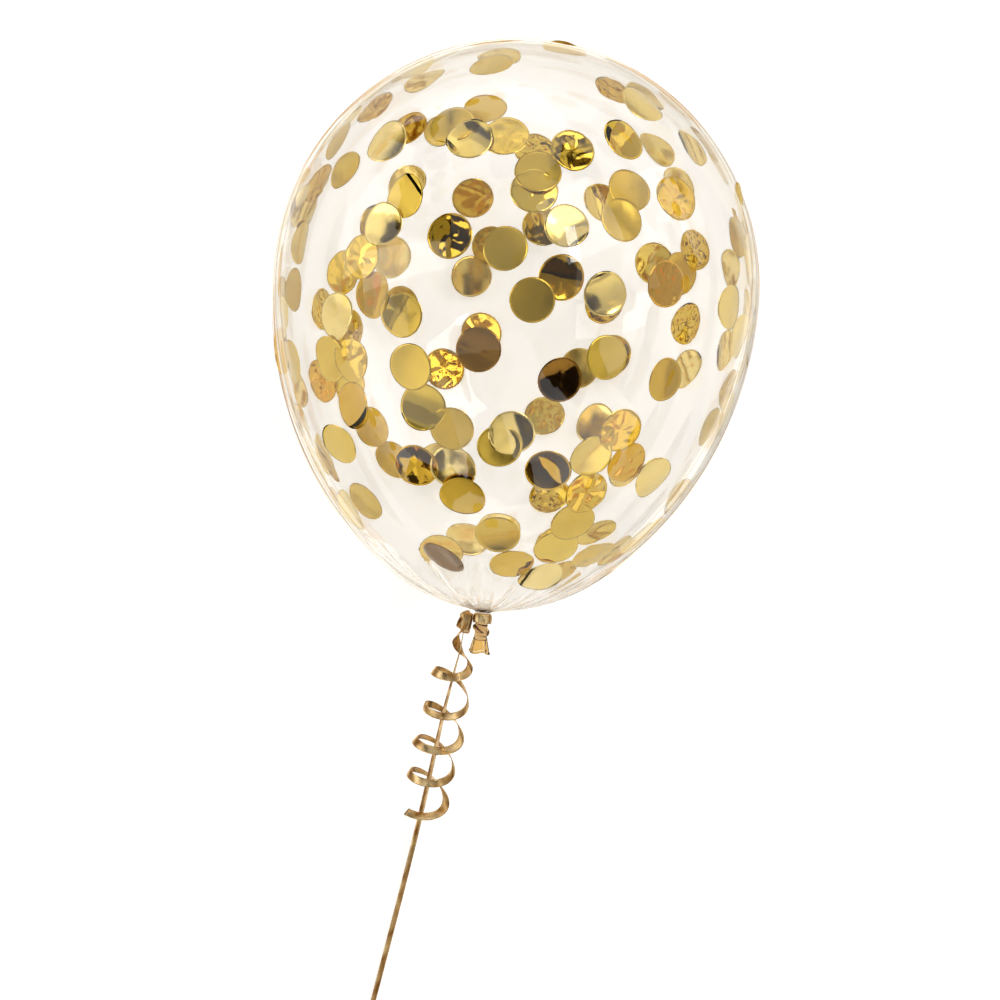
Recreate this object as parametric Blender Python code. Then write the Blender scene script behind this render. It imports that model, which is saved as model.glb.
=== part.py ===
"""A twelve-inch party balloon on its side, knotted and tied with curling ribbon.

Metres, +Z up. The balloon's long axis lies over Y, crown towards +Y and neck towards -Y, and it
rests on a small flat spot at z = 0. The origin is under the middle of the balloon's own box.
Distances along the balloon's axis are counted from its widest ring, towards the neck.
"""
from math import cos, pi, radians, sin, sqrt

import bmesh
import bpy
from mathutils import Matrix, Vector

# The balloon
BALLOON_WIDTH = 0.283
CROWN_DEPTH = 0.144          # from the widest ring to the crown
NECK_DEPTH = 0.189           # from the widest ring to where the film closes in on the neck
CROWN_STEPS = 11
NECK_SIDE_STEPS = 16
AROUND = 48                  # facets around the balloon
NECK_RADIUS = 0.0042
NECK_START, NECK_END = 0.1905, 0.1968
KNOT_LENGTH, KNOT_RADIUS = 0.0085, 0.0054
WAIST_RADIUS = 0.0034        # the tail, just outside the knot
TAIL_END, LIP_RADIUS, LIP_BEAD = 0.2145, 0.0068, 0.0009

# How it lies
LYING_TILT = radians(11)     # neck down: here the solid's centre stands over the spot it rests on
FLAT_DEPTH = 0.0015          # how much of the round side the flat spot takes off

# The ribbon and its tie
TOUCH_GAP = 0.0003           # left wherever two pieces meet
RIBBON_WIDTH = 0.005
RIBBON_THICKNESS = 0.0006
TIE_OUTER_RADIUS = 0.0059
TIE_LENGTH = 0.0054
TIE_KNOT_SIZE = Vector((0.0085, 0.0056, 0.0078))
TIE_KNOT_OFFSET = 0.0098     # from the neck's axis to the middle of the tie's knot, towards -X
TIE_KNOT_BEVEL = 0.0008
TIE_AROUND = 32

# The long end of the ribbon: x, y, z of its middle line, and how far its width is turned from
# level. It leaves the tie's knot, droops to the floor and runs along it to the coil.
RIBBON_ROUTE = (
    ((-0.0098, -0.1594, 0.1037), 90),
    ((-0.0108, -0.1745, 0.1000), 86),
    ((-0.0136, -0.1908, 0.0905), 78),
    ((-0.0168, -0.2088, 0.0748), 70),
    ((-0.0194, -0.2268, 0.0562), 64),
    ((-0.0220, -0.2448, 0.0374), 60),
    ((-0.0246, -0.2627, 0.0209), 57),
    ((-0.0269, -0.2783, 0.0107), 55),
    ((-0.0292, -0.2937, 0.0050), 54),
    ((-0.0318, -0.3111, 0.0026), 54),
    ((-0.0350, -0.3322, 0.0023), 54),
    ((-0.0388, -0.3572, 0.0023), 54),
    ((-0.0426, -0.3820, 0.0023), 56),
    ((-0.0450, -0.3990, 0.0024), 62),
    ((-0.0472, -0.4160, 0.0027), 74),
    ((-0.0487, -0.4300, 0.0029), 86),
    ((-0.0494, -0.4440, 0.0029), 90),
)
RIBBON_STEPS = 3             # straight pieces between two points of a route

# The spare length, wound into a flat round coil with the ribbon standing on edge
COIL_CENTRE = (-0.0162, -0.4450)
COIL_INNER_RADIUS, COIL_OUTER_RADIUS = 0.0215, 0.0325
COIL_BASE, COIL_TOP = 0.0003, 0.0055
COIL_AROUND = 48

# The short end of the ribbon, curled round the long one: the middle line of its curls, the
# curls' outer radius there, and how far each turn leans over towards -Y.
CURL_ROUTE = (
    ((-0.0098, -0.1594, 0.1037), 0.0037, 11),
    ((-0.0110, -0.1706, 0.1008), 0.0042, 15),
    ((-0.0130, -0.1780, 0.0976), 0.0062, 22),
    ((-0.0138, -0.1848, 0.0934), 0.0110, 36),
    ((-0.0142, -0.1927, 0.0874), 0.0138, 42),
    ((-0.0170, -0.2100, 0.0712), 0.0132, 42),
    ((-0.0194, -0.2272, 0.0530), 0.0144, 42),
    ((-0.0220, -0.2450, 0.0345), 0.0136, 42),
    ((-0.0243, -0.2605, 0.0190), 0.0140, 42),
)
CURL_STEPS = 2
CURL_WALL = 0.0008
CURL_AROUND = 16


def material(name, colour, roughness, metallic=0.0):
    finish = bpy.data.materials.new(name)
    finish.use_nodes = True
    shader = finish.node_tree.nodes["Principled BSDF"]
    shader.inputs["Base Color"].default_value = (*colour, 1.0)
    shader.inputs["Roughness"].default_value = roughness
    shader.inputs["Metallic"].default_value = metallic
    return finish


def loft(name, rings, finish, closed=False, place=Matrix()):
    """One solid skinned over a row of point rings: its ends are flat, or joined where closed."""
    bm = bmesh.new()
    rows = [[bm.verts.new(place @ Vector(point)) for point in ring] for ring in rings]
    around = len(rows[0])
    for near, far in zip(rows, rows[1:] + rows[:1] if closed else rows[1:]):
        for i in range(around):
            j = (i + 1) % around
            bm.faces.new((near[i], near[j], far[j], far[i]))
    if not closed:
        bm.faces.new(rows[0])
        bm.faces.new(rows[-1])
    bmesh.ops.recalc_face_normals(bm, faces=bm.faces)
    mesh = bpy.data.meshes.new(name)
    bm.to_mesh(mesh)
    bm.free()
    mesh.shade_smooth()
    mesh.set_sharp_from_angle(angle=radians(40))
    mesh.materials.append(finish)
    solid = bpy.data.objects.new(name, mesh)
    bpy.context.scene.collection.objects.link(solid)
    return solid


def smooth_curve(points, steps):
    """Points on one smooth curve through the given ones, with steps pieces between two of them."""
    points = [Vector(point) for point in points]
    padded = [2 * points[0] - points[1], *points, 2 * points[-1] - points[-2]]
    curve = []
    for a, b, c, d in zip(padded, padded[1:], padded[2:], padded[3:]):
        for step in range(steps):
            t = step / steps
            curve.append(0.5 * (2 * b + (c - a) * t + (2 * a - 5 * b + 4 * c - d) * t * t
                                + (3 * b - 3 * c + d - a) * t * t * t))
    return curve + [points[-1]]


# ---- the balloon ---------------------------------------------------------------------------

def film_radius(along):
    """The inflated film's radius at a distance from the widest ring."""
    full = BALLOON_WIDTH / 2
    if along < 0:
        return full * sqrt(max(0.0, 1 - (along / CROWN_DEPTH) ** 2))
    part = min(1.0, along / NECK_DEPTH)
    return full * (0.9 * sqrt(1 - part * part) + 0.1 * cos(pi * part / 2))


def crown_profile():
    angles = [pi / 2 * (step + 0.5) / CROWN_STEPS for step in range(CROWN_STEPS)]
    return [(-CROWN_DEPTH * cos(angle), film_radius(-CROWN_DEPTH * cos(angle))) for angle in angles]


def neck_side_profile():
    """From the widest ring down to where the film is gathered, close to the neck."""
    fullest = 0.94           # of a quarter turn
    turns = [pi / 2 * fullest * step / NECK_SIDE_STEPS for step in range(NECK_SIDE_STEPS + 1)]
    return [(NECK_DEPTH * sin(turn), film_radius(NECK_DEPTH * sin(turn))) for turn in turns]


def gathered_profile(start, radius):
    """A hollow curve from the film in to the neck."""
    for step in (1, 2, 3, 4):
        t = step / 4
        yield start + (NECK_START - start) * t, NECK_RADIUS + (radius - NECK_RADIUS) * (1 - t) ** 2


def knot_profile():
    for step in range(7):
        t = step / 6
        foot = NECK_RADIUS + (WAIST_RADIUS - NECK_RADIUS) * t
        yield NECK_END + KNOT_LENGTH * t, foot + (KNOT_RADIUS - foot) * sin(pi * t)


def tail_profile():
    """The flared tail and the rolled lip at its end."""
    start = NECK_END + KNOT_LENGTH
    bead = TAIL_END - 2 * LIP_BEAD
    for step in (1, 2, 3):
        t = step / 3
        yield start + (bead - start) * t, WAIST_RADIUS + (LIP_RADIUS - LIP_BEAD - WAIST_RADIUS) * t ** 0.7
    for step in (1, 2, 3):
        turn = pi * step / 3
        yield bead + LIP_BEAD * (1 - cos(turn)), LIP_RADIUS - LIP_BEAD + LIP_BEAD * sin(turn)


def balloon_profile():
    side = neck_side_profile()
    return [*crown_profile(), *side, *gathered_profile(*side[-1]), *knot_profile(), *tail_profile()]


def lying_place(profile):
    """Turns the balloon's own axis, along -Y, to how it lies, and sets it on the floor."""
    reach = [radius * cos(LYING_TILT) + along * sin(LYING_TILT) for along, radius in profile]
    ends = [-along * cos(LYING_TILT) + side * radius * sin(LYING_TILT)
            for along, radius in profile for side in (-1, 1)]
    middle = (min(ends) + max(ends)) / 2
    up = max(reach) - FLAT_DEPTH
    return Matrix.Translation((0, -middle, up)) @ Matrix.Rotation(LYING_TILT, 4, "X")


def ring_about_axis(along, radius, count):
    return [(radius * cos(2 * pi * i / count), -along, radius * sin(2 * pi * i / count))
            for i in range(count)]


def cut_flat_spot(solid):
    """Cuts off what is under the floor."""
    bm = bmesh.new()
    bm.from_mesh(solid.data)
    bmesh.ops.bisect_plane(bm, geom=bm.verts[:] + bm.edges[:] + bm.faces[:],
                           plane_co=(0, 0, 0), plane_no=(0, 0, 1), clear_inner=True)
    bmesh.ops.holes_fill(bm, edges=[edge for edge in bm.edges if edge.is_boundary])
    bmesh.ops.recalc_face_normals(bm, faces=bm.faces)
    bm.to_mesh(solid.data)
    bm.free()


def make_balloon(place):
    rings = [ring_about_axis(along, radius, AROUND) for along, radius in balloon_profile()]
    clear_latex = material("clear_latex", (0.86, 0.84, 0.78), 0.08)
    cut_flat_spot(loft("balloon", rings, clear_latex, place=place))


# ---- the ribbon ----------------------------------------------------------------------------

def make_tie(place, gold):
    """The ribbon's turns round the neck, and the knot on their side."""
    inner = NECK_RADIUS + TOUCH_GAP
    middle = (NECK_START + NECK_END) / 2
    near, far = middle - TIE_LENGTH / 2, middle + TIE_LENGTH / 2
    corners = ((near, inner), (near, TIE_OUTER_RADIUS), (far, TIE_OUTER_RADIUS), (far, inner))
    rings = [ring_about_axis(along, radius, TIE_AROUND) for along, radius in corners]
    tie = loft("ribbon_tie", rings, gold, closed=True, place=place)

    bm = bmesh.new()
    bmesh.ops.create_cube(bm, size=1.0)
    bmesh.ops.scale(bm, vec=TIE_KNOT_SIZE, verts=bm.verts)
    bmesh.ops.bevel(bm, geom=bm.edges[:], offset=TIE_KNOT_BEVEL, segments=2, affect="EDGES")
    bmesh.ops.transform(bm, verts=bm.verts,
                        matrix=place @ Matrix.Translation((-TIE_KNOT_OFFSET, -middle, 0)))
    mesh = bpy.data.meshes.new("tie_knot")
    bm.to_mesh(mesh)
    bm.free()
    knot = bpy.data.objects.new("tie_knot", mesh)
    bpy.context.scene.collection.objects.link(knot)
    knot.hide_render = True
    knot.display_type = "WIRE"
    joined = tie.modifiers.new("tie_knot", "BOOLEAN")
    joined.operation = "UNION"
    joined.object = knot


def make_long_end(gold):
    """A flat strip along the route, with its width turned as the route says."""
    middle = smooth_curve([point for point, _ in RIBBON_ROUTE], RIBBON_STEPS)
    turns = smooth_curve([(turn, 0, 0) for _, turn in RIBBON_ROUTE], RIBBON_STEPS)
    rings = []
    for i, point in enumerate(middle):
        ahead = (middle[min(i + 1, len(middle) - 1)] - middle[max(i - 1, 0)]).normalized()
        level = ahead.cross((0, 0, 1)).normalized()
        above = level.cross(ahead)
        turn = radians(turns[i].x)
        across = (level * cos(turn) + above * sin(turn)) * RIBBON_WIDTH / 2
        thick = (above * cos(turn) - level * sin(turn)) * RIBBON_THICKNESS / 2
        rings.append([point + across + thick, point - across + thick,
                      point - across - thick, point + across - thick])
    loft("ribbon", rings, gold)


def make_coil(gold):
    corners = ((COIL_INNER_RADIUS, COIL_BASE), (COIL_OUTER_RADIUS, COIL_BASE),
               (COIL_OUTER_RADIUS, COIL_TOP), (COIL_INNER_RADIUS, COIL_TOP))
    rings = [[(COIL_CENTRE[0] + radius * cos(2 * pi * i / COIL_AROUND),
               COIL_CENTRE[1] + radius * sin(2 * pi * i / COIL_AROUND), height)
              for i in range(COIL_AROUND)] for radius, height in corners]
    loft("ribbon_coil", rings, gold, closed=True)


def make_curled_end(gold):
    """The curls as one fat tube, open along its middle, where the long end runs through them."""
    middle = smooth_curve([point for point, _, _ in CURL_ROUTE], CURL_STEPS)
    shape = smooth_curve([(radius, lean, 0) for _, radius, lean in CURL_ROUTE], CURL_STEPS)

    def ring(i, radius):
        heading = middle[min(i + 1, len(middle) - 1)] - middle[max(i - 1, 0)]
        heading.z = 0
        heading.normalize()
        lean = radians(shape[i].y)
        side = heading.cross((0, 0, 1)) * radius
        up = (Vector((0, 0, cos(lean))) + heading * sin(lean)) * radius
        angles = [2 * pi * k / CURL_AROUND for k in range(CURL_AROUND)]
        return [middle[i] + side * cos(angle) + up * sin(angle) for angle in angles]

    outer = [ring(i, shape[i].x) for i in range(len(middle))]
    inner = [ring(i, shape[i].x - CURL_WALL) for i in range(len(middle))]
    loft("curled_end", outer + inner[::-1], gold, closed=True)


def main():
    for old in list(bpy.data.objects):
        bpy.data.objects.remove(old)
    place = lying_place(balloon_profile())
    gold = material("gold_ribbon", (0.62, 0.38, 0.13), 0.3, 0.9)
    make_balloon(place)
    make_tie(place, gold)
    make_long_end(gold)
    make_coil(gold)
    make_curled_end(gold)


main()
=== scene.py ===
"""The looks of a clear confetti balloon and its curling ribbon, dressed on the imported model.

Metres, +Z up. The balloon lies on its side, neck towards -Y. Distances along its axis are counted
from its widest ring, towards the neck, and "across" is along +X.
"""
import random
from bisect import bisect
from math import asin, cos, pi, radians, sin, sqrt

import bmesh
import bpy
from mathutils import Matrix, Vector, noise


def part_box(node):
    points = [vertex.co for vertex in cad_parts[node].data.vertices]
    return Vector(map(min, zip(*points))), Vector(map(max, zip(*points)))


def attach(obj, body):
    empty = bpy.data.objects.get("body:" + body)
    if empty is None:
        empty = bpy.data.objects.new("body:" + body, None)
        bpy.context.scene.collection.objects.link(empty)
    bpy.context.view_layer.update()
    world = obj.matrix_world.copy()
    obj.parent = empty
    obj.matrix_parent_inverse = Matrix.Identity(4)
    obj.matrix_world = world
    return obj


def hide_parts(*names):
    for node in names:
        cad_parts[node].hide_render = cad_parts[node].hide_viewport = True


# The balloon, as the part's source has it
BALLOON_WIDTH = 0.283
CROWN_DEPTH = 0.144
NECK_DEPTH = 0.189
NECK_RADIUS = 0.0042
NECK_START, NECK_END = 0.1905, 0.1968
KNOT_LENGTH = 0.0085
WAIST_RADIUS = 0.0034
TAIL_END, LIP_RADIUS, LIP_BEAD = 0.2145, 0.0068, 0.0009
LYING_TILT = radians(11)

# The film
FILM = 0.0008                # thicker than real latex, so that its edge shows as a fine line
NECK_FILM = 0.0011
FILM_AROUND = 160
CROWN_STEPS, NECK_SIDE_STEPS = 34, 54
PLEATS_START = 0.135         # where the film begins to gather towards the neck
PLEAT_DEPTH = 0.11           # of the radius, at the neck
THICKENING_START = 0.14      # where the film begins to thicken towards the neck
FOOT_SOFTNESS = 0.0012       # over which the film turns from its curve to the floor
FOOT_HEIGHT = 0.0002         # what the film keeps off the floor

# The knot in the neck and the tail
CORE_RADIUS = 0.0036
CORE_LENGTH = 0.0135
KNOT_LOOP_RADIUS = 0.0033    # from the neck's axis to the middle of the latex that is looped round it
KNOT_LOOP_TURNS = 1.35
TAIL_WALL = 0.0009
KNOT_VOXEL = 0.00028         # melts the crossing strands into one body

# The confetti: 1 inch foil discs
DISC_RADIUS = 0.0130
DISC_THICKNESS = 0.00016
DISC_AROUND = 30
DISC_RINGS = (0.22, 0.42, 0.6, 0.76, 0.9, 1.0)
STACK_STEP = 0.0009          # how far a disc lying on another stands off the film
SIDE_DISCS, FAR_DISCS = 66, 46
SIDE_REACH = 0.34            # the side discs' film has a normal that rises or falls no more than this
SIDE_ROOM, FAR_ROOM = 0.0165, 0.0205     # between the middles of two neighbours
CONFETTI_SEED = 12

# How a disc lies: its bend, crumple and crease, its tone from bronze to pale (a painted reflection),
# and its roughness
DISC_LOOKS = {
    "plain": (0.22, 0.00004, 0.0, (0.34, 0.62), (0.16, 0.26)),
    "pale": (0.45, 0.00010, 0.0, (0.75, 1.0), (0.10, 0.22)),
    "dark": (0.20, 0.00016, 0.20, (0.0, 0.10), (0.05, 0.10)),
    "split": (0.20, 0.00008, 0.22, (0.26, 0.62), (0.03, 0.08)),
    "crumpled": (0.25, 0.00075, 0.0, (0.20, 0.60), (0.03, 0.10)),
}

# Where the front's discs lie: millimetres across and along from the widest ring
FRONT_DISCS = (
    (-27, -121, "plain"), (-34, -73, "pale"), (-45, -81, "plain"), (-14, -77, "crumpled"),
    (-82, -70, "pale"), (-67, -38, "split"), (-78, -21, "pale"), (-39, -17, "crumpled"),
    (-8, -13, "plain"), (6, -58, "plain"), (5, -47, "crumpled"), (25, -29, "pale"), (10, 14, "plain"),
    (25, 0, "split"), (50, 6, "pale"), (52, -83, "split"), (55, -36, "plain"), (58, -54, "plain"),
    (62, -108, "pale"), (86, -54, "crumpled"), (84, -4, "crumpled"), (123, 3, "pale"),
    (55, 41, "plain"), (30, 56, "dark"), (89, 49, "plain"), (-17, 44, "dark"), (-54, 57, "plain"),
    (-80, 19, "split"), (-62, 29, "split"), (-100, 32, "pale"), (-85, 81, "split"), (-45, 78, "split"),
    (-28, 89, "plain"), (-46, 111, "split"), (6, 88, "pale"), (0, 96, "plain"), (-18, 126, "plain"),
    (4, 145, "plain"), (52, 96, "plain"), (29, 107, "split"), (67, 80, "crumpled"),
    (74, 98, "crumpled"), (89, 104, "pale"), (52, 117, "crumpled"), (46, 134, "plain"),
    (39, 151, "split"), (61, 152, "crumpled"), (31, 167, "pale"), (-26, 163, "dark"),
    (-92, 103, "split"), (-89, -2, "crumpled"), (-100, 7, "crumpled"),
    (-101, 56, "split"), (-89, 56, "crumpled"), (14, 162, "crumpled"), (24, -73, "crumpled"),
    (-25, 111, "pale"))

# The ribbon's long end, repeated from the part's source: its middle line, and the turn of its width
RIBBON_ROUTE = (
    ((-0.0098, -0.1594, 0.1037), 90),
    ((-0.0108, -0.1745, 0.1000), 86),
    ((-0.0136, -0.1908, 0.0905), 78),
    ((-0.0168, -0.2088, 0.0748), 70),
    ((-0.0194, -0.2268, 0.0562), 64),
    ((-0.0220, -0.2448, 0.0374), 60),
    ((-0.0246, -0.2627, 0.0209), 57),
    ((-0.0269, -0.2783, 0.0107), 55),
    ((-0.0292, -0.2937, 0.0050), 54),
    ((-0.0318, -0.3111, 0.0026), 54),
    ((-0.0350, -0.3322, 0.0023), 54),
    ((-0.0388, -0.3572, 0.0023), 54),
    ((-0.0426, -0.3820, 0.0023), 56),
    ((-0.0450, -0.3990, 0.0024), 62),
    ((-0.0472, -0.4160, 0.0027), 74),
    ((-0.0487, -0.4300, 0.0029), 86),
    ((-0.0494, -0.4440, 0.0029), 90),
)
RIBBON_WIDTH = 0.005
RIBBON_THICKNESS = 0.00018
RIBBON_CAMBER = 0.0004       # how far its middle is bowed out
RIBBON_LENGTH = 1.0
ROUTE_STEPS = 10
COIL_CENTRE = Vector((-0.0162, -0.4450, 0.0029))
COIL_START_RADIUS, COIL_PITCH = 0.0330, 0.0024
COIL_STEPS = 72              # a turn

# The curled end: the middle line of its curls, their outer radius and their lean towards -Y
CURL_ROUTE = (
    ((-0.0098, -0.1594, 0.1037), 0.0037, 11),
    ((-0.0110, -0.1706, 0.1008), 0.0042, 15),
    ((-0.0130, -0.1780, 0.0976), 0.0062, 22),
    ((-0.0138, -0.1848, 0.0934), 0.0110, 36),
    ((-0.0142, -0.1927, 0.0874), 0.0138, 42),
    ((-0.0170, -0.2100, 0.0712), 0.0132, 42),
    ((-0.0194, -0.2272, 0.0530), 0.0144, 42),
    ((-0.0220, -0.2450, 0.0345), 0.0136, 42),
    ((-0.0243, -0.2605, 0.0190), 0.0140, 42),
)
CURL_TURNS = 5.14
CURL_EASE = 0.05             # of its route, over which it comes up to its full turning
CURL_LEVEL_FROM = 0.3        # of its route, from where the curls lie level
CURL_STEPS = 48              # a turn
CURL_INSET = 0.0006          # keeps the ribbon inside the curls' outer radius
CURL_LEVEL = 1.2             # how nearly level the curls' upper halves lie
CURL_FACING = radians(5.8)   # the way that the curls face, from straight towards -Y
CURL_TILTS = (58, 40, 6, 48, 20, 62)   # degrees that the strip is tilted over, turn by turn

# The turns of ribbon round the neck
TIE_TURNS, TIE_STEPS = 3, 36
TIE_RADIUS = 0.00475         # the first turn's
TIE_GROWTH = 0.00022         # what each turn lies outside the last
TIE_OFFSET, TIE_DRIFT = 0.0026, 0.0011   # along the neck: from its start, and from end to end

# The loops of the ribbon's knot: centre, tip and yaw in degrees, half of its length and of its width
KNOT_LOOPS = (
    ((-0.0094, -0.1936, 0), 60, 30, 0.0031, 0.0023),
    ((-0.0088, -0.1972, 0.0012), 72, 84, 0.0060, 0.0019),
    ((-0.0106, -0.1962, -0.0006), -58, 66, 0.0050, 0.0020))

# The camera looks square at the balloon's axis, rolled so that the crown leans right
CAMERA_DISTANCE = 2.2
CAMERA_AIM = Vector((0.0033, -0.1242, 0.0))
CAMERA_ROLL = radians(5.8)
VIEW_WIDTH = 0.582           # what the frame takes in, at the balloon's axis
FLOOR_GLOW = 0.68            # how brightly the floor itself shines

# What the film's rim mirrors from straight below: fine gold and cream lines
RIM_GLINTS = ((0.008, "#FFF6E0"), (0.016, "#8A6426"), (0.022, "#FFFFFF"), (0.034, "#D9B775"),
              (0.042, "#FFFFFF"), (0.052, "#9A7434"), (0.060, "#FFF2D6"), (0.084, "#FFFFFF"),
              (0.094, "#B08C4A"), (0.104, "#FFF8E8"))


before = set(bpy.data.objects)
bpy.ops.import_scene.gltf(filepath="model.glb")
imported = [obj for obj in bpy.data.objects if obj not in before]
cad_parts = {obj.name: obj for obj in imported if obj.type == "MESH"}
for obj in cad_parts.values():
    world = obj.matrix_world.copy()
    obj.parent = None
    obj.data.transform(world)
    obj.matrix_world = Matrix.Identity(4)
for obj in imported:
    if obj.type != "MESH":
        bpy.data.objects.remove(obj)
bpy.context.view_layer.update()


# ---- helpers -------------------------------------------------------------------------------

def linear(colour):
    """sRGB hex to linear red, green, blue and alpha."""
    parts = [int(colour[i:i + 2], 16) / 255 for i in (1, 3, 5)]
    return (*[p / 12.92 if p <= 0.04045 else ((p + 0.055) / 1.055) ** 2.4 for p in parts], 1.0)


def add(tree, kind, inputs=None, **settings):
    """Adds a shader node: an input that is a socket is linked, any other is a value."""
    new = tree.nodes.new("ShaderNode" + kind)
    for name, value in settings.items():
        setattr(new, name, value)
    for socket, value in (inputs or {}).items():
        if isinstance(value, bpy.types.NodeSocket):
            tree.links.new(value, new.inputs[socket])
        else:
            new.inputs[socket].default_value = value
    return new


def blank(name):
    """A material with only its output."""
    material = bpy.data.materials.new(name)
    material.use_nodes = True
    material.node_tree.nodes.clear()
    return material, material.node_tree, add(material.node_tree, "OutputMaterial")


def smooth_curve(points, steps):
    """Points on one smooth curve through the given ones, with steps pieces between two of them."""
    points = [Vector(point) for point in points]
    padded = [2 * points[0] - points[1], *points, 2 * points[-1] - points[-2]]
    curve = []
    for a, b, c, d in zip(padded, padded[1:], padded[2:], padded[3:]):
        for step in range(steps):
            t = step / steps
            curve.append(0.5 * (2 * b + (c - a) * t + (2 * a - 5 * b + 4 * c - d) * t * t
                                + (3 * b - 3 * c + d - a) * t * t * t))
    return curve + [points[-1]]


def smoothstep(low, high, value):
    t = min(1.0, max(0.0, (value - low) / (high - low)))
    return t * t * (3 - 2 * t)


def piece(name, bm, material, *nodes, slot):
    """Makes a mesh piece that stands for CAD nodes and rides with the part."""
    mesh = bpy.data.meshes.new(name)
    bm.to_mesh(mesh)
    bm.free()
    mesh.shade_smooth()
    mesh.materials.append(material)
    made = bpy.data.objects.new(name, mesh)
    bpy.context.scene.collection.objects.link(made)
    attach(made, "root")
    if nodes:
        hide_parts(*nodes)
    return made


def skin(bm, rows, closed_rows=True, cap_start=False, cap_end=False):
    """Quads between rows of vertices; each row is a closed ring unless told otherwise."""
    count = len(rows[0])
    for near, far in zip(rows, rows[1:]):
        for i in range(count if closed_rows else count - 1):
            j = (i + 1) % count
            bm.faces.new((near[i], near[j], far[j], far[i]))
    if cap_start:
        bm.faces.new(rows[0][::-1])
    if cap_end:
        bm.faces.new(rows[-1])


# ---- the balloon's shape -------------------------------------------------------------------

def film_radius(along):
    full = BALLOON_WIDTH / 2
    if along < 0:
        return full * sqrt(max(0.0, 1 - (along / CROWN_DEPTH) ** 2))
    part = min(1.0, along / NECK_DEPTH)
    return full * (0.9 * sqrt(1 - part * part) + 0.1 * cos(pi * part / 2))


def film_profile():
    """Along and radius, from the crown to the start of the neck."""
    turns = [pi / 2 * (step + 0.35) / CROWN_STEPS for step in range(CROWN_STEPS)]
    places = [-CROWN_DEPTH * cos(turn) for turn in turns]
    turns = [pi / 2 * 0.94 * step / NECK_SIDE_STEPS for step in range(NECK_SIDE_STEPS + 1)]
    places += [NECK_DEPTH * sin(turn) for turn in turns]
    rows = [(along, film_radius(along)) for along in places]
    start, radius = rows[-1]
    for step in range(1, 9):
        t = step / 8
        rows.append((start + (NECK_START - start) * t,
                     NECK_RADIUS + (radius - NECK_RADIUS) * (1 - t) ** 2))
    return rows


def lying_place():
    """From the balloon's own axes, with its neck towards -Y, to how it lies on the floor."""
    rows = film_profile() + [(TAIL_END, LIP_RADIUS - LIP_BEAD / 2)]
    ends = [-along * cos(LYING_TILT) + side * radius * sin(LYING_TILT)
            for along, radius in rows for side in (-1, 1)]
    low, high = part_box("balloon")
    middle = (min(ends) + max(ends)) / 2
    top = max(radius * cos(LYING_TILT) - along * sin(LYING_TILT) for along, radius in rows)
    up = high[2] - top
    return Matrix.Translation((0, -middle, up)) @ Matrix.Rotation(LYING_TILT, 4, "X")


PLACE = lying_place()


def above_floor(point, least):
    """Flattens the film softly where it rests on the floor."""
    lift = point.z - least
    point.z = least + (lift + sqrt(lift * lift + FOOT_SOFTNESS * FOOT_SOFTNESS)) / 2
    return point


# ---- camera, floor and light ---------------------------------------------------------------

def make_camera():
    right = Vector((cos(CAMERA_ROLL), sin(CAMERA_ROLL), 0))
    up = Vector((-sin(CAMERA_ROLL), cos(CAMERA_ROLL), 0))
    turn = Matrix((right, up, (0, 0, 1))).transposed().to_4x4()
    data = bpy.data.cameras.new("camera")
    data.lens = data.sensor_width * CAMERA_DISTANCE / VIEW_WIDTH
    data.clip_end = 100
    camera = bpy.data.objects.new("camera", data)
    bpy.context.scene.collection.objects.link(camera)
    away = Vector((0, 0, CAMERA_DISTANCE))
    camera.matrix_world = PLACE @ Matrix.Translation(CAMERA_AIM + away) @ turn
    bpy.context.scene.camera = camera


def make_floor():
    """A plain white floor, partly lit from beneath as a light table is, so that shadows stay pale."""
    material, tree, out = blank("studio_floor")
    paint = add(tree, "BsdfPrincipled", {
        "Base Color": linear("#F4F4F3"), "Roughness": 0.8, "Specular IOR Level": 0.2,
        "Emission Color": linear("#FFFFFF"), "Emission Strength": FLOOR_GLOW})
    tree.links.new(paint.outputs[0], out.inputs["Surface"])
    bm = bmesh.new()
    bmesh.ops.create_grid(bm, x_segments=1, y_segments=1, size=6)
    mesh = bpy.data.meshes.new("floor")
    bm.to_mesh(mesh)
    bm.free()
    mesh.materials.append(material)
    floor = bpy.data.objects.new("floor", mesh)
    floor.location.z = -0.0002
    floor.visible_glossy = False
    bpy.context.scene.collection.objects.link(floor)


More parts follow.
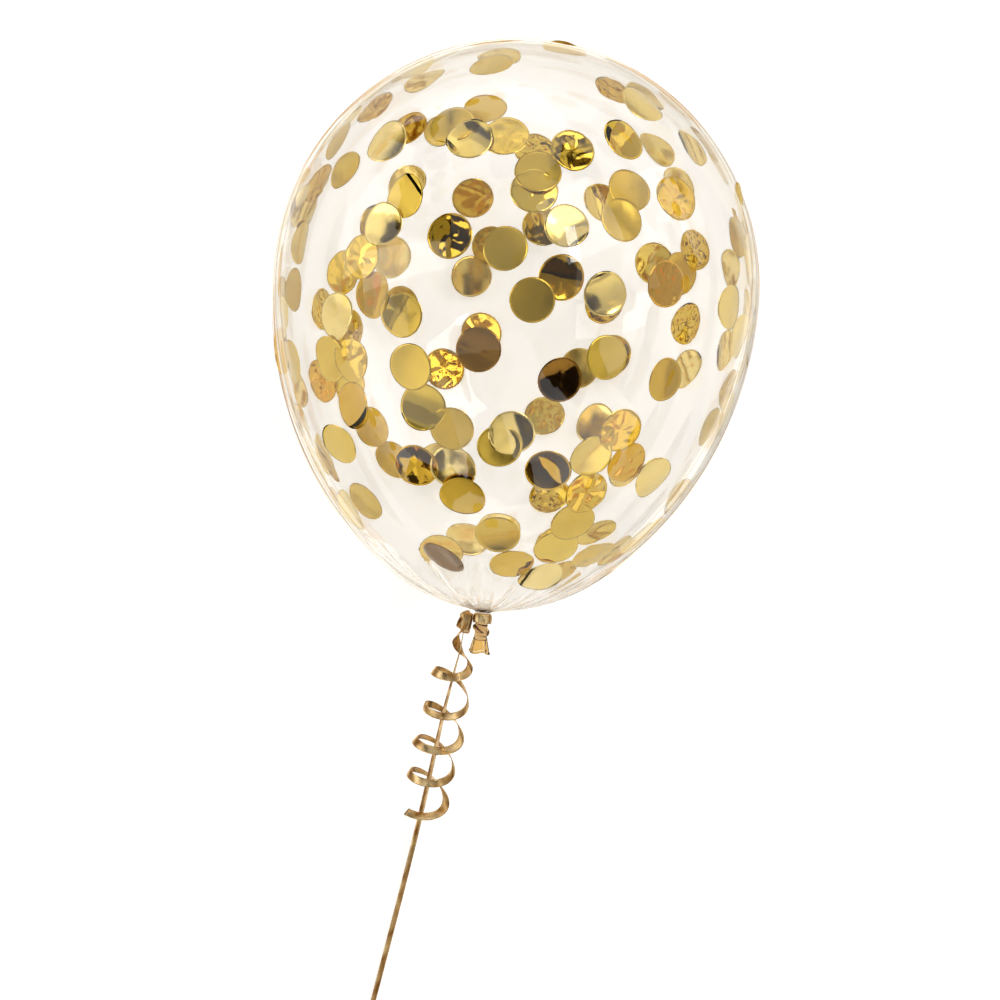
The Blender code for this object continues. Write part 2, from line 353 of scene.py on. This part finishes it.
def make_world():
    """A white studio. Foil and film mirror its grey ceiling, its panels and dark openings, and the
    warm glints of more gold round the sides and below; what lights everything else is plain white."""
    world = bpy.data.worlds.new("studio")
    world.use_nodes = True
    tree = world.node_tree
    tree.nodes.clear()
    place = add(tree, "TexCoord")
    height = add(tree, "SeparateXYZ", {"Vector": place.outputs["Generated"]})
    level = add(tree, "ValToRGB", {"Fac": add(tree, "MapRange", {
        "Value": height.outputs["Z"], "From Min": -1.0}).outputs["Result"]})
    level.color_ramp.elements[0].color = linear("#C9A864")
    level.color_ramp.elements[1].color = linear("#A9A9AB")
    for position, colour in RIM_GLINTS + ((0.14, "#A08E6C"), (0.42, "#A89A80"), (0.52, "#FFFFFF"),
                                          (0.62, "#FFFFFF"), (0.85, "#B4B4B5")):
        level.color_ramp.elements.new(position).color = linear(colour)
    cells = add(tree, "TexVoronoi", {"Vector": place.outputs["Generated"], "Scale": 2.3},
                distance="CHEBYCHEV")
    chance = add(tree, "SeparateColor", {"Color": cells.outputs["Color"]})
    panels = add(tree, "ValToRGB", {"Fac": chance.outputs["Red"]})
    panels.color_ramp.interpolation = "CONSTANT"
    panels.color_ramp.elements[0].color = linear("#2A241C")
    panels.color_ramp.elements[1].position = 0.12
    panels.color_ramp.elements[1].color = linear("#A8A6A2")
    for position, colour in ((0.34, "#D2D1CF"), (0.6, "#F2F1EF"), (0.8, "#FFFFFF")):
        panels.color_ramp.elements.new(position).color = linear(colour)
    dots = add(tree, "TexVoronoi", {"Vector": place.outputs["Generated"], "Scale": 6.5})
    near = add(tree, "Math", {0: dots.outputs["Distance"], 1: 0.33}, operation="LESS_THAN")
    low = add(tree, "Math", {0: height.outputs["Z"], 1: 0.15}, operation="LESS_THAN")
    golden = add(tree, "Math", {0: near.outputs[0], 1: low.outputs[0]}, operation="MULTIPLY")
    gold = add(tree, "Mix", {"Factor": golden.outputs[0], "A": panels.outputs["Color"],
                             "B": linear("#C79A45")}, data_type="RGBA")
    dimmed = add(tree, "Mix", {"Factor": 1.0, "A": gold.outputs["Result"],
                               "B": level.outputs["Color"]}, data_type="RGBA", blend_type="MULTIPLY")
    room = add(tree, "Background", {"Color": dimmed.outputs["Result"], "Strength": 1.7})
    white = add(tree, "Background", {"Color": linear("#FFFFFF"), "Strength": 0.3})
    path = add(tree, "LightPath")
    mirrored = add(tree, "MixShader", {0: path.outputs["Is Glossy Ray"], 1: white.outputs[0],
                                       2: room.outputs[0]})
    out = add(tree, "OutputWorld")
    tree.links.new(mirrored.outputs[0], out.inputs["Surface"])
    bpy.context.scene.world = world


def make_softbox(name, toward, distance, size, power):
    """A rectangular lamp that faces the balloon from a direction in the balloon's own axes."""
    data = bpy.data.lights.new(name, "AREA")
    data.shape = "RECTANGLE"
    data.size, data.size_y = size
    data.energy = power
    lamp = bpy.data.objects.new(name, data)
    bpy.context.scene.collection.objects.link(lamp)
    away = (PLACE.to_3x3() @ Vector(toward)).normalized()
    lamp.location = PLACE.translation + away * distance
    lamp.rotation_euler = away.to_track_quat("Z", "Y").to_euler()
    lamp.visible_camera = False
    return lamp


def make_lights():
    make_softbox("key_softbox", (0.55, 0.62, 1.0), 1.7, (0.9, 0.9), 6).visible_glossy = False
    make_softbox("side_softbox", (-1.0, 0.1, 0.75), 1.7, (0.35, 1.3), 3).visible_glossy = False
    make_softbox("window", (0.45, 0.35, 1.0), 1.9, (0.5, 0.16), 1.4)


# ---- materials -----------------------------------------------------------------------------

def latex(name, film_tint, depth_tint, density, roughness, pattern_size, bump):
    """Natural latex, dipped and blown up: glossy and see-through. It is faintly amber where light runs
    along inside it, so that edges and thick places show and the rest hardly does."""
    material, tree, out = blank(name)
    place = add(tree, "TexCoord")
    flow = add(tree, "TexNoise", {"Vector": place.outputs["Object"], "Scale": 1 / pattern_size,
                                  "Detail": 2.0, "Roughness": 0.4})
    ripple = add(tree, "Bump", {"Height": flow.outputs["Fac"], "Strength": bump, "Distance": 0.0005})
    film = add(tree, "BsdfPrincipled", {
        "Base Color": linear(film_tint), "Roughness": roughness, "IOR": 1.5,
        "Transmission Weight": 1.0, "Normal": ripple.outputs["Normal"]})
    absorb = add(tree, "VolumeAbsorption", {"Color": linear(depth_tint), "Density": density})
    tree.links.new(film.outputs[0], out.inputs["Surface"])
    tree.links.new(absorb.outputs[0], out.inputs["Volume"])
    return material


def gold_foil():
    """Metallised film punched into discs: a mirror gold, khaki on most, and a little clouded where it
    is flat.
    The deeper orange, pale or bronze on others is painted reflection, standing in for neighbouring
    gold, bright light and dark openings mirrored in the foil."""
    material, tree, out = blank("gold_foil")
    reflection_tone_and_roughness = add(tree, "Attribute", attribute_name="disc_reflection_tone_and_roughness")
    parts = add(tree, "SeparateColor", {"Color": reflection_tone_and_roughness.outputs["Color"]})
    # painted reflection: the bronze, orange and pale ends of this ramp stand in for dark, gold and
    # bright surroundings mirrored in the foil
    colour = add(tree, "ValToRGB", {"Fac": parts.outputs["Red"]})
    colour.color_ramp.elements[0].color = linear("#6A4A18")
    colour.color_ramp.elements[1].color = linear("#F2DA8E")
    for position, tone in ((0.08, "#86622A"), (0.15, "#D6A236"), (0.32, "#CFAA3A"), (0.6, "#DDBF55")):
        colour.color_ramp.elements.new(position).color = linear(tone)
    place = add(tree, "TexCoord")
    grain = add(tree, "TexNoise", {"Vector": place.outputs["Object"], "Scale": 260.0, "Detail": 3.0})
    waves = add(tree, "Bump", {"Height": grain.outputs["Fac"], "Strength": 0.12, "Distance": 0.0002})
    foil = add(tree, "BsdfPrincipled", {
        "Base Color": colour.outputs["Color"], "Metallic": 1.0, "Roughness": parts.outputs["Green"],
        "Normal": waves.outputs["Normal"]})
    tree.links.new(foil.outputs[0], out.inputs["Surface"])
    return material


def gold_ribbon():
    """Polypropylene curling ribbon with a metallic gold face: fine ribs run along it, and its gold
    turns now paler and now deeper along its length, a painted highlight and painted shade."""
    material, tree, out = blank("gold_ribbon")
    place = add(tree, "UVMap", uv_map="strip")
    split = add(tree, "SeparateXYZ", {"Vector": place.outputs["UV"]})
    ribs = add(tree, "Math", {0: split.outputs["X"], 1: 2 * pi * 9}, operation="MULTIPLY")
    wave = add(tree, "Math", {0: ribs.outputs[0]}, operation="SINE")
    groove = add(tree, "Bump", {"Height": wave.outputs[0], "Strength": 0.2, "Distance": 0.00008})
    # painted highlight and shade: stretches of paler and deeper gold along the ribbon
    painted_sheen = add(tree, "TexNoise", {"Vector": place.outputs["UV"], "Scale": 0.55, "Detail": 1.0})
    colour = add(tree, "ValToRGB", {"Fac": painted_sheen.outputs["Fac"]})
    colour.color_ramp.elements[0].position = 0.3
    colour.color_ramp.elements[0].color = linear("#A87838")
    colour.color_ramp.elements[1].position = 0.7
    colour.color_ramp.elements[1].color = linear("#FFE0A6")
    film = add(tree, "BsdfPrincipled", {
        "Base Color": colour.outputs["Color"], "Metallic": 0.8, "Roughness": 0.16,
        "Normal": groove.outputs["Normal"]})
    tree.links.new(film.outputs[0], out.inputs["Surface"])
    return material


# ---- the ribbon ----------------------------------------------------------------------------

def strip(name, middle, faces, material, *nodes):
    """A thin ribbon along a middle line. faces holds the direction that its bowed face looks."""
    bm = bmesh.new()
    uv = bm.loops.layers.uv.new("strip")
    across = [(step / 8 - 0.5) for step in range(9)]
    section = [(part, 1) for part in across] + [(part, -1) for part in across[::-1]]
    rows = []
    for i, point in enumerate(middle):
        ahead = (middle[min(i + 1, len(middle) - 1)] - middle[max(i - 1, 0)]).normalized()
        out = (faces[i] - ahead * faces[i].dot(ahead)).normalized()
        side = out.cross(ahead)
        rows.append([bm.verts.new(point + side * part * RIBBON_WIDTH + out * (
            RIBBON_CAMBER * (0.5 - 4 * part * part) * 0.6 + face * RIBBON_THICKNESS / 2))
            for part, face in section])
    skin(bm, rows, cap_start=True, cap_end=True)
    bmesh.ops.recalc_face_normals(bm, faces=bm.faces)
    lengths = [0.0]
    for a, b in zip(middle, middle[1:]):
        lengths.append(lengths[-1] + (b - a).length)
    where = {vert: (section[k][0] + 0.5, lengths[i] / RIBBON_WIDTH)
             for i, row in enumerate(rows) for k, vert in enumerate(row)}
    for face in bm.faces:
        for loop in face.loops:
            loop[uv].uv = where[loop.vert]
    return piece(name, bm, material, *nodes, slot="gold_ribbon")


def path_length(points):
    return sum((b - a).length for a, b in zip(points, points[1:]))


def at_turn(values, turn):
    """A value that passes smoothly from one turn's to the next."""
    first = min(int(turn), len(values) - 2)
    return values[first] + (values[first + 1] - values[first]) * smoothstep(0, 1, turn - first)


def make_long_end(material):
    """Down from the tie to the floor, along it, and the spare length wound on edge in a coil."""
    middle = smooth_curve([point for point, _ in RIBBON_ROUTE], ROUTE_STEPS)
    turns = [radians(turn.x) for turn in
             smooth_curve([(turn, 0, 0) for _, turn in RIBBON_ROUTE], ROUTE_STEPS)]
    faces = []
    for i, turn in enumerate(turns):
        ahead = (middle[min(i + 1, len(middle) - 1)] - middle[max(i - 1, 0)]).normalized()
        level = ahead.cross((0, 0, 1)).normalized()
        faces.append(level.cross(ahead) * cos(turn) - level * sin(turn))
    step = 2 * pi / COIL_STEPS
    angle = pi
    while path_length(middle) < RIBBON_LENGTH:
        angle += step
        radius = COIL_START_RADIUS - COIL_PITCH * (angle - pi) / (2 * pi)
        outward = Vector((cos(angle), sin(angle), 0))
        middle.append(COIL_CENTRE + outward * radius)
        faces.append(outward)
    ribbon = strip("curling_ribbon", middle, faces, material, "ribbon", "ribbon_coil")


def eased(part):
    """How much of its turning the curled end has done: slow over its first stretch, then even."""
    past = part * part / (2 * CURL_EASE) if part < CURL_EASE else part - CURL_EASE / 2
    return past / (1 - CURL_EASE / 2)


def make_curled_end(material):
    """The short end, drawn over a blade so that it springs into curls round the long one."""
    count = round(CURL_TURNS * CURL_STEPS)
    dense = 40
    middle = smooth_curve([point for point, _, _ in CURL_ROUTE], dense)
    shape = smooth_curve([(radius, lean, 0) for _, radius, lean in CURL_ROUTE], dense)
    lengths = [0.0]
    for a, b in zip(middle, middle[1:]):
        lengths.append(lengths[-1] + (b - a).length)
    heading = Vector((sin(CURL_FACING), -cos(CURL_FACING), 0))
    side = heading.cross((0, 0, 1))
    points, outs = [], []
    for step in range(count + 1):
        part = step / count
        turn = 2 * pi * CURL_TURNS * eased(part)
        level = CURL_LEVEL * smoothstep(0, CURL_LEVEL_FROM, part)
        along = part - level * sin(turn) / (2 * pi * CURL_TURNS)
        along = min(1.0, max(0.0, along)) * lengths[-1]
        k = min(bisect(lengths, along), len(middle) - 1) - 1
        t = (along - lengths[k]) / (lengths[k + 1] - lengths[k])
        centre = middle[k].lerp(middle[k + 1], t)
        radius, lean, _ = shape[k].lerp(shape[k + 1], t)
        up = Vector((0, 0, cos(radians(lean)))) + heading * sin(radians(lean))
        outward = side * sin(turn) + up * cos(turn)
        tilt = radians(at_turn(CURL_TILTS, turn / (2 * pi))) * smoothstep(0, 0.2, part)
        points.append(centre + outward * (radius - CURL_INSET))
        outs.append(outward * cos(tilt) + side.cross(up) * sin(tilt))
    for i, out in enumerate(outs):
        ahead = (points[min(i + 1, count)] - points[max(i - 1, 0)]).normalized()
        turned = radians(60) * (1 - smoothstep(0, 0.16, i / count))
        outs[i] = Matrix.Rotation(turned, 3, ahead) @ out
    curled = strip("curled_ribbon_end", points, outs, material, "curled_end")


def make_tie(material):
    """Three turns of ribbon round the neck, and a small knot of crossed loops on their side."""
    points, outs = [], []
    for step in range(TIE_TURNS * TIE_STEPS + 1):
        angle = 2 * pi * step / TIE_STEPS
        outward = Vector((cos(angle), 0, sin(angle)))
        along = NECK_START + TIE_OFFSET + TIE_DRIFT * step / (TIE_TURNS * TIE_STEPS)
        points.append(outward * (TIE_RADIUS + TIE_GROWTH * step / TIE_STEPS) - Vector((0, along, 0)))
        outs.append(outward)
    to_floor = PLACE.to_3x3()
    turns = strip("ribbon_turns", [PLACE @ p for p in points], [to_floor @ o for o in outs],
                  material, "ribbon_tie")
    for number, (centre, tip, yaw, long, short) in enumerate(KNOT_LOOPS):
        turn = Matrix.Rotation(radians(yaw), 3, "Z") @ Matrix.Rotation(radians(tip), 3, "X")
        points, outs = [], []
        for step in range(42):
            angle = 2 * pi * step / 40
            spot = Vector((long * cos(angle), short * sin(angle), 0.0004 * (step / 40 - 0.5)))
            points.append(PLACE @ (Vector(centre) + turn @ spot))
            outs.append(to_floor @ (turn @ Vector((short * cos(angle), long * sin(angle), 0))))
        strip(f"ribbon_knot_{number + 1}", points, outs, material)


# ---- the balloon ---------------------------------------------------------------------------

def pleat(along, angle):
    """The film's gathers near the neck, as a share of the radius."""
    depth = PLEAT_DEPTH * smoothstep(PLEATS_START, NECK_DEPTH, along) ** 2
    folds = cos(13 * angle + 0.6) + 0.6 * cos(21 * angle + 2.1) + 0.35 * cos(34 * angle)
    return 1 + depth * (folds / 2 - 0.3)


def make_film(material):
    """The blown-up film: an outer and an inner wall, sealed at the neck."""
    bm = bmesh.new()
    for inner in (False, True):
        rows = []
        for along, radius in film_profile():
            wall = FILM + (NECK_FILM - FILM) * smoothstep(THICKENING_START, NECK_START, along)
            inset = wall if inner else 0.0
            ring = []
            for i in range(FILM_AROUND):
                angle = 2 * pi * i / FILM_AROUND
                reach = radius * pleat(along, angle) - inset
                spot = Vector((reach * cos(angle), -along, reach * sin(angle)))
                if inner and along < 0:
                    spot.y -= inset * (-along / CROWN_DEPTH)
                ring.append(bm.verts.new(above_floor(PLACE @ spot, FOOT_HEIGHT + inset)))
            rows.append(ring)
        before = set(bm.faces)
        skin(bm, rows, cap_start=True, cap_end=True)
        wall_faces = [face for face in bm.faces if face not in before]
        bmesh.ops.recalc_face_normals(bm, faces=wall_faces)
        if inner:
            bmesh.ops.reverse_faces(bm, faces=wall_faces)
    film = piece("balloon_film", bm, material, "balloon", slot="clear_latex")
    film.visible_shadow = False
    film.visible_diffuse = False
    return film


def tube(bm, points, radii, around=16):
    """A round rod along points."""
    rows = []
    for i, point in enumerate(points):
        ahead = (points[min(i + 1, len(points) - 1)] - points[max(i - 1, 0)]).normalized()
        side = ahead.orthogonal() if i == 0 else side - ahead * side.dot(ahead)
        side = side.normalized()
        above = ahead.cross(side)
        rows.append([bm.verts.new(point + radii[i] * (side * cos(2 * pi * k / around)
                                                      + above * sin(2 * pi * k / around)))
                     for k in range(around)])
    skin(bm, rows, cap_start=True, cap_end=True)


def add_knot(bm):
    """The neck's core, and the strand that is looped round it."""
    core = [Vector((0, -(NECK_START + 0.0022 + CORE_LENGTH * step / 12), 0)) for step in range(13)]
    tube(bm, core, [CORE_RADIUS] * 13, 24)
    middle = NECK_END + KNOT_LENGTH / 2
    loop = []
    for step in range(49):
        angle = 2 * pi * KNOT_LOOP_TURNS * step / 48
        along = middle + 0.0022 * cos(angle * 0.74 + 0.4)
        loop.append(Vector((KNOT_LOOP_RADIUS * cos(angle), -along, KNOT_LOOP_RADIUS * sin(angle))))
    tube(bm, loop, [0.0007 + 0.0013 * sin(pi * (step / 48)) ** 0.5 for step in range(49)], 14)


def add_tail(bm):
    """The open tail, flared and a little wavy, and the rolled lip round its end."""
    start = NECK_END + KNOT_LENGTH - 0.002
    outer, inner = [], []
    for step in range(15):
        t = step / 14
        along = start + (TAIL_END - 0.0012 - start) * t
        outer_row, inner_row = [], []
        for i in range(64):
            angle = 2 * pi * i / 64
            wave = 1 + 0.10 * t * (cos(5 * angle + 1) + 0.5 * cos(8 * angle))
            reach = (WAIST_RADIUS + (LIP_RADIUS - 0.0012 - WAIST_RADIUS) * t ** 0.8) * wave
            drop = 0.0006 * t * cos(3 * angle)
            point = Vector((cos(angle), 0, 0.78 * sin(angle)))
            outer_row.append(point * reach - Vector((0, along + drop, 0)))
            inner_row.append(point * (reach - TAIL_WALL) - Vector((0, along + drop, 0)))
        outer.append(outer_row)
        inner.append(inner_row)
    skin(bm, [[bm.verts.new(p) for p in row] for row in outer + inner[:2:-1]],
         cap_start=True, cap_end=True)
    bead = [(a + b) / 2 for a, b in zip(outer[-1], inner[-1])]
    bead_rows = []
    for point in bead:
        outward = (point * Vector((1, 0, 1))).normalized()
        back = Vector((0, -1, 0))
        bead_rows.append([bm.verts.new(point + LIP_BEAD * (outward * cos(2 * pi * k / 10)
                                                           + back * sin(2 * pi * k / 10)))
                          for k in range(10)])
    skin(bm, bead_rows + bead_rows[:1])


def make_neck_knot(material):
    """The thick latex past the tie: an overhand knot, then the tail with its rolled lip."""
    bm = bmesh.new()
    add_knot(bm)
    add_tail(bm)
    bmesh.ops.transform(bm, matrix=PLACE, verts=bm.verts)
    bmesh.ops.recalc_face_normals(bm, faces=bm.faces)
    neck = piece("neck_knot_and_tail", bm, material, slot="clear_latex")
    join = neck.modifiers.new("one_body", "REMESH")
    join.mode = "VOXEL"
    join.voxel_size = KNOT_VOXEL
    join.use_smooth_shade = True
    soften = neck.modifiers.new("soften", "SMOOTH")
    soften.factor = 0.5
    soften.iterations = 4
    return neck


# ---- the confetti --------------------------------------------------------------------------

def wall_spot(turn, along):
    """A point of the film, its outward normal, and how far a flat disc's edge stands off it."""
    radius = film_radius(along)
    step = 0.0005
    slope = (film_radius(along + step) - film_radius(along - step)) / (2 * step)
    ring = Vector((sin(turn), 0, cos(turn)))
    normal = (ring + Vector((0, slope, 0))).normalized()
    room = DISC_RADIUS ** 2 / (2 * max(0.02, radius / normal.dot(ring)))
    return ring * radius - Vector((0, along, 0)), normal, room


def scatter(rng, places, count, low, high, room, looks):
    """Adds places on the film whose normal rises between low and high, kept a room apart."""
    tries = 0
    wanted = len(places) + count
    while len(places) < wanted and tries < 40000:
        tries += 1
        along = rng.uniform(-CROWN_DEPTH * 0.985, 0.168)
        turn = rng.uniform(-pi, pi)
        spot, normal, _ = wall_spot(turn, along)
        if not low < normal.z < high or rng.random() > film_radius(along) / (BALLOON_WIDTH / 2):
            continue
        if all((spot - wall_spot(*other[:2])[0]).length > room for other in places):
            places.append((turn, along, rng.choice(looks)))


def disc_places(rng):
    """Each disc's turn about the axis from the top, its distance along it, and its look."""
    places = []
    for across, along, look in FRONT_DISCS:
        share = min(0.995, max(-0.995, across / 1000 / film_radius(along / 1000)))
        places.append((asin(share), along / 1000, look))
    scatter(rng, places, SIDE_DISCS, -SIDE_REACH, SIDE_REACH, SIDE_ROOM,
            ("plain", "pale", "pale", "crumpled", "split"))
    scatter(rng, places, FAR_DISCS, -1, -SIDE_REACH, FAR_ROOM,
            ("crumpled", "pale", "pale", "plain", "crumpled", "split"))
    return places


def add_disc(bm, tone_and_roughness_layers, centre, normal, rng, look):
    """One foil disc with its look, resting no lower than the floor."""
    side = normal.orthogonal().normalized()
    side = Matrix.Rotation(rng.uniform(0, 2 * pi), 3, normal) @ side
    above = normal.cross(side)
    radius = DISC_RADIUS * rng.uniform(0.96, 1.03)
    bend, crumple, crease, reflection_tones, roughnesses = DISC_LOOKS[look]
    bend *= rng.choice((-1, 1)) * rng.uniform(0.5, 1)
    seed = Vector((rng.uniform(0, 90), rng.uniform(0, 90), 0))
    fold = rng.uniform(-0.45, 0.45) * radius
    # the tone is a painted reflection, standing in for what the foil mirrors; the roughness is the
    # foil's own
    reflection_tone_and_roughness = (rng.uniform(*reflection_tones), rng.uniform(*roughnesses), 0, 1)

    def lift(x, y):
        swell = bend * 0.35 * (x * x - 0.3 * y * y) / radius
        dents = crumple * noise.noise(Vector((x, y, 0)) / 0.0042 + seed)
        waves = 0.0004 * noise.noise(Vector((x, y, 0)) / 0.013 + seed)
        return swell + dents + waves + crease * max(0.0, x - fold)

    made = []
    for face in (1, -1):
        offset = face * DISC_THICKNESS / 2
        rows = []
        for ring in (0, *DISC_RINGS):
            row = []
            for k in range(DISC_AROUND if ring else 1):
                x = ring * radius * cos(2 * pi * k / DISC_AROUND)
                y = ring * radius * sin(2 * pi * k / DISC_AROUND)
                row.append(bm.verts.new(centre + side * x + above * y + normal * (lift(x, y) + offset)))
            rows.append(row)
        hub = rows.pop(0)[0]
        for k in range(DISC_AROUND):
            bm.faces.new((hub, rows[0][k], rows[0][(k + 1) % DISC_AROUND]))
        skin(bm, rows)
        made += [hub, *[vert for row in rows for vert in row]]
        if face == 1:
            top = rows[-1]
        else:
            skin(bm, [top, rows[-1]])
    rise = max(0.0, FILM + 0.0008 - min(vert.co.z for vert in made))
    for vert in made:
        vert[tone_and_roughness_layers] = reflection_tone_and_roughness
        vert.co.z += rise


def make_confetti(material):
    """Foil discs that cling to the inside of the film."""
    rng = random.Random(CONFETTI_SEED)
    meshes = {look: bmesh.new() for look in DISC_LOOKS}
    # each disc carries its painted reflection tone and its own roughness
    tone_and_roughness_layers = {look: bm.verts.layers.float_color.new("disc_reflection_tone_and_roughness") for look, bm in meshes.items()}
    laid = []
    for turn, along, look in disc_places(rng):
        spot, normal, room = wall_spot(turn, along)
        under = [level for other, level in laid if (other - spot).length < 1.9 * DISC_RADIUS]
        level = max(under, default=-1) + 1
        laid.append((spot, level))
        tilt = rng.uniform(0, radians(8 if level == 0 else 3))
        lean = Matrix.Rotation(tilt, 3, normal.orthogonal().normalized())
        lean = Matrix.Rotation(rng.uniform(0, 2 * pi), 3, normal) @ lean
        inset = FILM + 0.0006 + room + DISC_RADIUS * sin(tilt) + STACK_STEP * level
        inset += DISC_RADIUS * 0.4 * DISC_LOOKS[look][2]
        centre = PLACE @ (spot - normal * inset)
        add_disc(meshes[look], tone_and_roughness_layers[look], centre, PLACE.to_3x3() @ (lean @ normal), rng, look)
    for look, bm in meshes.items():
        bmesh.ops.recalc_face_normals(bm, faces=bm.faces)
        piece(f"confetti_{look}_discs", bm, material, slot="gold_foil")


# ---- the whole -----------------------------------------------------------------------------

make_camera()
ribbon_finish = gold_ribbon()
make_long_end(ribbon_finish)
make_curled_end(ribbon_finish)
make_tie(ribbon_finish)
make_film(latex("clear_latex_film", "#FDFCFA", "#B89254", 42.0, 0.02, 0.06, 0.15))
make_neck_knot(latex("thick_amber_latex", "#F8DFA6", "#BE903E", 130.0, 0.12, 0.004, 0.3))
make_confetti(gold_foil())
make_floor()
make_world()
make_lights()
bpy.context.scene.view_settings.view_transform = "Standard"
